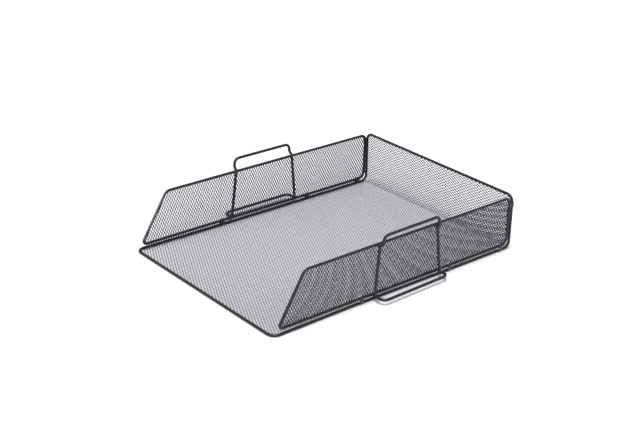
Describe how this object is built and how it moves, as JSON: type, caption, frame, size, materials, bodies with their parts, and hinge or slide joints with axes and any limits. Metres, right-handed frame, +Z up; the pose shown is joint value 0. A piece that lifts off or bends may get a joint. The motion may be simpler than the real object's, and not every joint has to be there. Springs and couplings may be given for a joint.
{
  "type": "mesh letter tray",
  "caption": "Front-loading desk letter tray of black wire and expanded metal, with sides that fold down over the base and stacking loops outside each side.",
  "frame": {"origin": "on the desk, under the middle of the tray", "axes": "+Z up, +Y towards the back, +X to the right of someone facing the open front; the open front faces -Y"},
  "size_m": [0.2882, 0.35, 0.0784],
  "materials": {
    "wire_coat": "black powder coat, low sheen",
    "mesh_coat": "black powder coat, low sheen",
    "strip_coat": "black powder coat, low sheen"
  },
  "bodies": {
    "tray": {"tray_ring": "wire_coat", "base_and_back_mesh": "mesh_coat", "right_hinge_strap_front": "strip_coat", "right_hinge_strap_middle": "strip_coat", "right_hinge_strap_rear": "strip_coat", "left_hinge_strap_front": "strip_coat", "left_hinge_strap_middle": "strip_coat", "left_hinge_strap_rear": "strip_coat", "right_latch_clip": "strip_coat", "left_latch_clip": "strip_coat"},
    "right_side": {"right_side_frame": "wire_coat", "right_side_mesh": "mesh_coat", "right_stacking_loop": "wire_coat"},
    "left_side": {"left_side_frame": "wire_coat", "left_side_mesh": "mesh_coat", "left_stacking_loop": "wire_coat"}
  },
  "joints": [
    {"name": "right_side_fold", "type": "hinge", "parent": "tray", "child": "right_side", "pos_m": [0.1254, 0, 0.0067], "axis": [0, -1, 0], "range_deg": [0, 90]},
    {"name": "left_side_fold", "type": "hinge", "parent": "tray", "child": "left_side", "pos_m": [-0.1254, 0, 0.0067], "axis": [0, 1, 0], "range_deg": [0, 90]}
  ]
}
